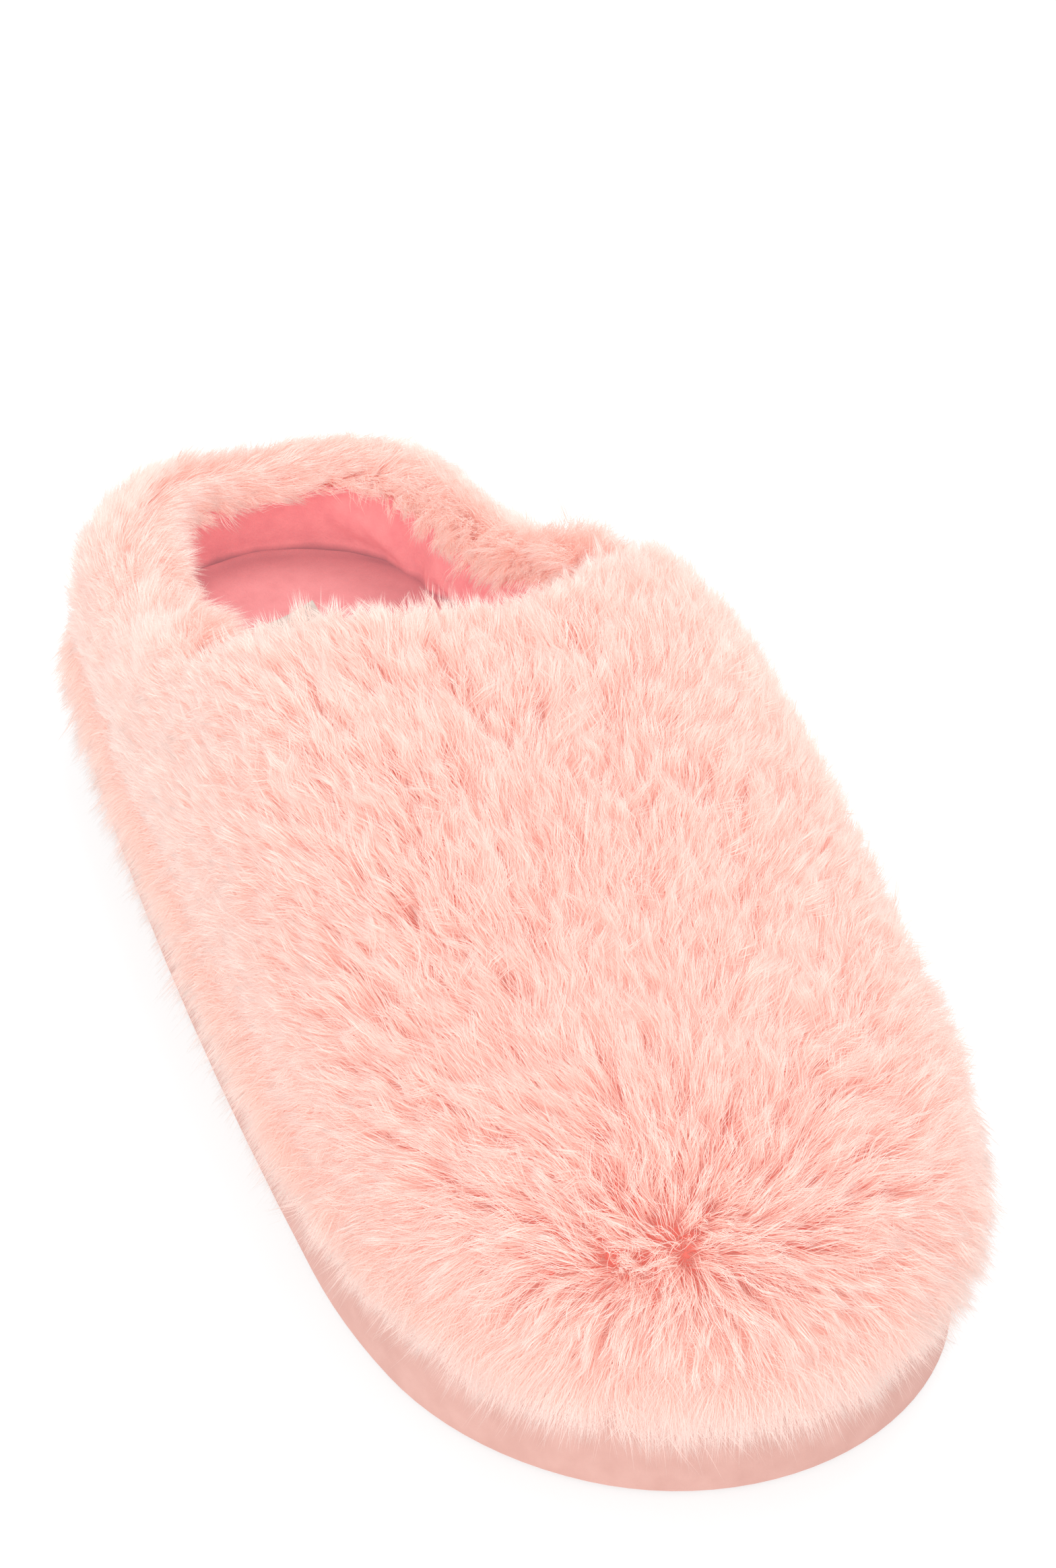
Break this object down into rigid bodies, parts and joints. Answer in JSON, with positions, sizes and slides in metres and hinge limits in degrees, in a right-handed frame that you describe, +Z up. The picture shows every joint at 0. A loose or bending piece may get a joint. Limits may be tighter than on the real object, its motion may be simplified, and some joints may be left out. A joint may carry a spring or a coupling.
{
  "type": "fluffy house slipper",
  "caption": "Closed-toe slip-on house slipper with a low heel collar, long-pile faux fur upper, plush lining and a suede-wrapped foam platform.",
  "frame": {"origin": "on the floor, under the middle of the slipper", "axes": "+Y towards the heel, toe at -Y, +Z up, +X towards the inner (big toe) side of this right-foot slipper"},
  "size_m": [0.1074, 0.265, 0.089],
  "materials": {
    "rubber": "matt moulded rubber",
    "foam": "soft polyurethane foam",
    "suede": "brushed microsuede",
    "board": "non-woven stiffener",
    "footbed_plush": "short plush",
    "lining_plush": "short plush",
    "label": "blank woven tape",
    "thread": "sewing thread",
    "fur": "long-pile faux fur",
    "tape": "cotton tape"
  },
  "bodies": {
    "root": {"outsole": "rubber", "midsole": "foam", "sidewall_wrap": "suede", "insole_board": "board", "footbed_foam": "foam", "footbed_cover": "footbed_plush", "footbed_label": "label", "label_thread": "thread", "vamp_fur": "fur", "heel_fur": "fur", "toe_puff": "board", "heel_counter": "board", "vamp_padding": "foam", "heel_padding": "foam", "vamp_lining": "lining_plush", "heel_lining": "lining_plush", "topline_tape": "tape", "side_seam_thread_outer": "thread", "side_seam_thread_inner": "thread", "topline_thread": "thread"}
  },
  "joints": []
}
